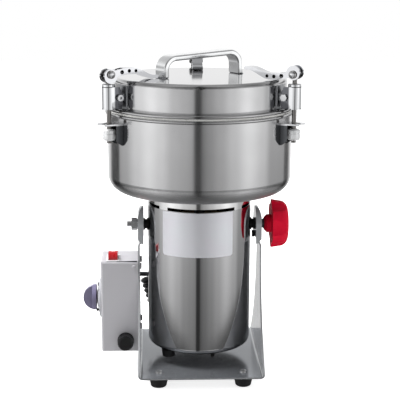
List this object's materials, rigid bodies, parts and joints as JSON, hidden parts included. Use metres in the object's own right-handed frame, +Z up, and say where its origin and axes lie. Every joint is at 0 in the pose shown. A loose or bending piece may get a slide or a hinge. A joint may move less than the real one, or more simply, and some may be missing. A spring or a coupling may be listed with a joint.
{
  "type": "electric coffee grinder",
  "caption": "High-speed electric grinder: polished steel bowl and lid on a drum motor that tilts in a bent-sheet stand, with cam-lever lid clamps, a red tilt knob and a timer box.",
  "frame": {"origin": "the point on the floor under the axis of the upright bowl, midway between the four feet", "axes": "+Z up along the bowl's axis, +X to the red knob along the tilt axis, -Y to the front"},
  "size_m": [0.247, 0.232, 0.3691],
  "materials": {
    "polished_steel": "polished sheet, soft mirror",
    "bright_steel": "bright plated fasteners",
    "blade_steel": "ground flat",
    "chrome": "mirror bright",
    "grey_paint": "satin powder coat",
    "dial_metal": "satin anodised",
    "washer_steel": "dark fibre under a bright washer",
    "black_rubber": "matt moulded",
    "cord_sheath": "semi-matt sheath",
    "black_plastic": "satin moulded",
    "red_plastic": "glossy moulded",
    "red_rocker": "glossy moulded",
    "violet_grey_plastic": "satin moulded",
    "white_rubber": "soft silicone",
    "cast_plate": "as cast",
    "core_steel": "stacked laminations",
    "copper": "varnished copper",
    "brush_brass": "drawn brass",
    "carbon": "pressed carbon",
    "fan_plastic": "moulded nylon"
  },
  "bodies": {
    "stand": {"stand_frame": "polished_steel", "rubber_feet": "black_rubber", "foot_screws": "bright_steel", "stop_peg": "black_rubber", "control_box": "grey_paint", "box_back_plate": "grey_paint", "box_screws": "bright_steel", "timer_body": "black_plastic", "dial_plate": "dial_metal", "switch_body": "black_plastic", "fuse_holder": "black_plastic", "cord_glands": "cord_sheath", "curly_cord": "cord_sheath"},
    "motor_unit": {"motor_housing": "polished_steel", "bottom_bumpers": "black_rubber", "motor_plate": "cast_plate", "bowl_seat": "black_rubber", "stator_core": "core_steel", "field_coils": "copper", "bearings": "bright_steel", "brush_holders": "brush_brass", "carbon_brushes": "carbon", "housing_gland": "cord_sheath", "pivot_bolts": "bright_steel", "pivot_spacers": "black_rubber", "pivot_washers": "washer_steel", "pivot_nut": "bright_steel", "bowl": "polished_steel", "bowl_screws": "bright_steel", "shaft_seal": "black_rubber", "keeper_brackets": "polished_steel", "bowl_gasket": "white_rubber", "lid": "polished_steel", "lid_lugs": "polished_steel", "handle": "chrome", "swing_screws": "bright_steel"},
    "rotor": {"rotor_shaft": "bright_steel", "armature": "core_steel", "commutator": "copper", "cooling_fan": "fan_plastic", "lower_blade": "blade_steel", "upper_blade": "blade_steel", "blade_nut": "bright_steel"},
    "red_knob": {"red_knob": "red_plastic"},
    "timer_knob": {"timer_knob": "violet_grey_plastic"},
    "switch_rocker": {"switch_rocker": "red_rocker"},
    "fuse_cap": {"fuse_cap": "black_plastic"},
    "clamp_1": {"clamp_barrel_1": "chrome", "clamp_rod_1": "chrome"},
    "lever_1": {"clamp_lever_1": "chrome"},
    "nut_1": {"clamp_nut_1": "chrome"},
    "clamp_2": {"clamp_barrel_2": "chrome", "clamp_rod_2": "chrome"},
    "lever_2": {"clamp_lever_2": "chrome"},
    "nut_2": {"clamp_nut_2": "chrome"},
    "clamp_3": {"clamp_barrel_3": "chrome", "clamp_rod_3": "chrome"},
    "lever_3": {"clamp_lever_3": "chrome"},
    "nut_3": {"clamp_nut_3": "chrome"}
  },
  "joints": [
    {"name": "tilt", "type": "hinge", "parent": "stand", "child": "motor_unit", "pos_m": [0, 0, 0.171], "axis": [1, 0, 0], "range_deg": [0, 90], "deforming": ["curly_cord"]},
    {"name": "rotor_spin", "type": "hinge", "parent": "motor_unit", "child": "rotor", "pos_m": [0, 0, 0.12], "axis": [0, 0, 1], "continuous": true},
    {"name": "knob_turn", "type": "hinge", "parent": "motor_unit", "child": "red_knob", "pos_m": [0.085, 0, 0.171], "axis": [1, 0, 0], "continuous": true},
    {"name": "timer_turn", "type": "hinge", "parent": "stand", "child": "timer_knob", "pos_m": [-0.12, 0, 0.084], "axis": [-1, 0, 0], "range_deg": [0, 300]},
    {"name": "rocker_tip", "type": "hinge", "parent": "stand", "child": "switch_rocker", "pos_m": [-0.099, -0.0102, 0.1345], "axis": [1, 0, 0], "range_deg": [0, 18]},
    {"name": "fuse_cap_turn", "type": "hinge", "parent": "stand", "child": "fuse_cap", "pos_m": [-0.0852, -0.03, 0.039], "axis": [0, 1, 0], "range_deg": [0, 60]},
    {"name": "clamp_1_swing", "type": "hinge", "parent": "motor_unit", "child": "clamp_1", "pos_m": [-0.0918, -0.053, 0.3237], "axis": [-0.5, 0.866, 0], "range_deg": [0, 28]},
    {"name": "lever_1_throw", "type": "hinge", "parent": "clamp_1", "child": "lever_1", "pos_m": [-0.09959, -0.0575, 0.3486], "axis": [0.5, -0.866, 0], "range_deg": [0, 181]},
    {"name": "nut_1_turn", "type": "hinge", "parent": "clamp_1", "child": "nut_1", "pos_m": [-0.09959, -0.0575, 0.284], "axis": [0, 0, 1], "continuous": true},
    {"name": "clamp_2_swing", "type": "hinge", "parent": "motor_unit", "child": "clamp_2", "pos_m": [0.0918, -0.053, 0.3237], "axis": [-0.5, -0.866, 0], "range_deg": [0, 28]},
    {"name": "lever_2_throw", "type": "hinge", "parent": "clamp_2", "child": "lever_2", "pos_m": [0.09959, -0.0575, 0.3486], "axis": [0.5, 0.866, 0], "range_deg": [0, 181]},
    {"name": "nut_2_turn", "type": "hinge", "parent": "clamp_2", "child": "nut_2", "pos_m": [0.09959, -0.0575, 0.284], "axis": [0, 0, 1], "continuous": true},
    {"name": "clamp_3_swing", "type": "hinge", "parent": "motor_unit", "child": "clamp_3", "pos_m": [0, 0.106, 0.3237], "axis": [1, 0, 0], "range_deg": [0, 28]},
    {"name": "lever_3_throw", "type": "hinge", "parent": "clamp_3", "child": "lever_3", "pos_m": [0, 0.115, 0.3486], "axis": [-1, 0, 0], "range_deg": [0, 181]},
    {"name": "nut_3_turn", "type": "hinge", "parent": "clamp_3", "child": "nut_3", "pos_m": [0, 0.115, 0.284], "axis": [0, 0, 1], "continuous": true}
  ],
  "couplings": [
    {"joint": "lever_1_throw", "follows": "clamp_1_swing", "ratio": 6.43},
    {"joint": "lever_2_throw", "follows": "clamp_2_swing", "ratio": 6.43},
    {"joint": "lever_3_throw", "follows": "clamp_3_swing", "ratio": 6.43}
  ]
}
